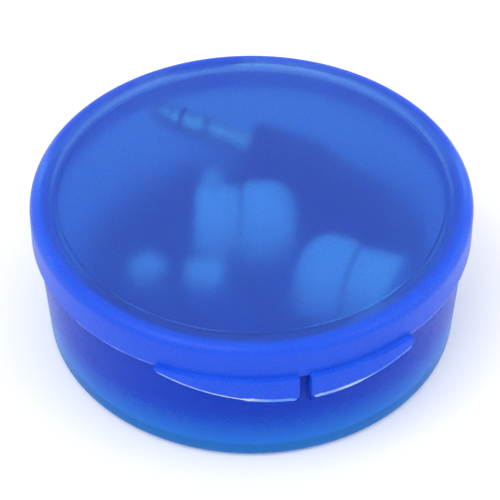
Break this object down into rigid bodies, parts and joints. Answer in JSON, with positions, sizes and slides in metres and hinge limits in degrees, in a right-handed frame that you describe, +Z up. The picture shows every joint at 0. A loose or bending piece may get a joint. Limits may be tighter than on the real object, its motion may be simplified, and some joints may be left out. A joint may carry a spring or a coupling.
{
  "type": "earphone travel case",
  "caption": "Round frosted case with an overlapping lid on a living hinge, holding wired in-ear phones and their coiled cable.",
  "frame": {"origin": "centre of the tub's underside, on the surface the case rests on", "axes": "+Z up through the lid; the hinge straps are towards -Y and the thumb tab towards +Y"},
  "size_m": [0.0572, 0.0599, 0.0212],
  "materials": {
    "frosted_blue": "frosted translucent polypropylene",
    "creased_film": "stress-whitened polypropylene film",
    "cable_black": "satin PVC jacket",
    "white_abs": "moulded, satin",
    "white_silicone": "matt silicone",
    "black_moulding": "moulded PVC",
    "nickel": "nickel plated",
    "steel_mesh": "fine mesh"
  },
  "bodies": {
    "case": {"base_tub": "frosted_blue", "hinge_film_left": "creased_film", "hinge_film_right": "creased_film", "main_coil": "cable_black", "lead_coil": "cable_black", "main_plug_tail": "cable_black", "main_split_tail": "cable_black", "left_lead_run": "cable_black", "right_lead_run": "cable_black", "left_lead_tail": "cable_black", "right_lead_tail": "cable_black", "y_splitter": "white_abs", "plug_grip": "black_moulding", "plug_relief": "black_moulding", "plug_tip": "nickel", "plug_ring": "nickel", "plug_sleeve": "nickel", "plug_insulators": "black_moulding", "left_ear_tip": "white_silicone", "left_grille": "steel_mesh", "left_front_shell": "white_abs", "left_rear_shell": "white_abs", "left_driver": "steel_mesh", "left_relief": "white_silicone", "right_ear_tip": "white_silicone", "right_grille": "steel_mesh", "right_front_shell": "white_abs", "right_rear_shell": "white_abs", "right_driver": "steel_mesh", "right_relief": "white_silicone"},
    "lid": {"lid_cover": "frosted_blue"},
    "slider": {"lead_slider": "white_abs"}
  },
  "joints": [
    {"name": "lid_hinge", "type": "hinge", "parent": "case", "child": "lid", "pos_m": [0, -0.02975, 0.013], "axis": [1, 0, 0], "range_deg": [0, 175], "deforming": ["hinge_film_left", "hinge_film_right"]},
    {"name": "slider_slide", "type": "slide", "parent": "case", "child": "slider", "axis": [0.9367, -0.3502, 0], "range_m": [-0.0024, 0.0006]}
  ]
}
